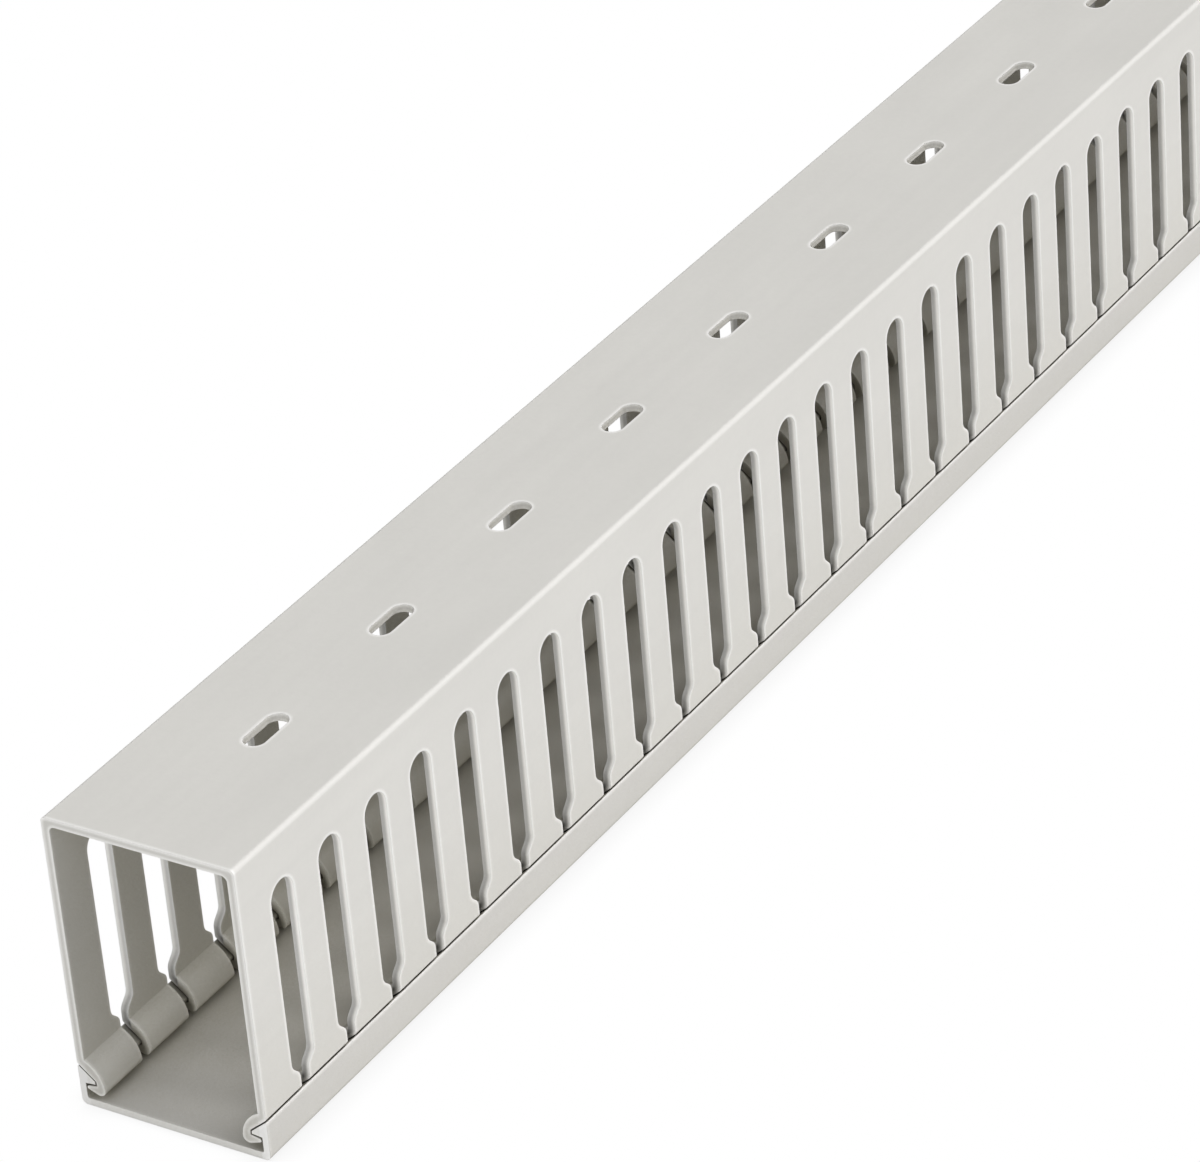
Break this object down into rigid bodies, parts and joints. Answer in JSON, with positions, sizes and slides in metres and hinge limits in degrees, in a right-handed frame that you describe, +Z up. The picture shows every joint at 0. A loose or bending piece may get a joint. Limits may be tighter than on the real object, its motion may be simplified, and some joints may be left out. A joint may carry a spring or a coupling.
{
  "type": "slotted wiring duct",
  "caption": "Straight grey plastic wiring duct: a U-shaped body with fingered walls and hooked fingertips, and a flat cover that holds on the hooks.",
  "frame": {"origin": "middle of the underside of the cover, which lies on the floor", "axes": "+X along the duct, +Y across it towards one slotted wall, +Z up towards the base with the mounting slots"},
  "size_m": [1, 0.05, 0.075],
  "materials": {
    "duct_pvc": "extruded light grey PVC, satin",
    "cover_pvc": "extruded light grey PVC, satin"
  },
  "bodies": {
    "duct": {"duct_body": "duct_pvc"},
    "cover": {"cover": "cover_pvc"}
  },
  "joints": [
    {"name": "cover_slide", "type": "slide", "parent": "duct", "child": "cover", "axis": [1, 0, 0], "range_m": [-1, 1]}
  ]
}
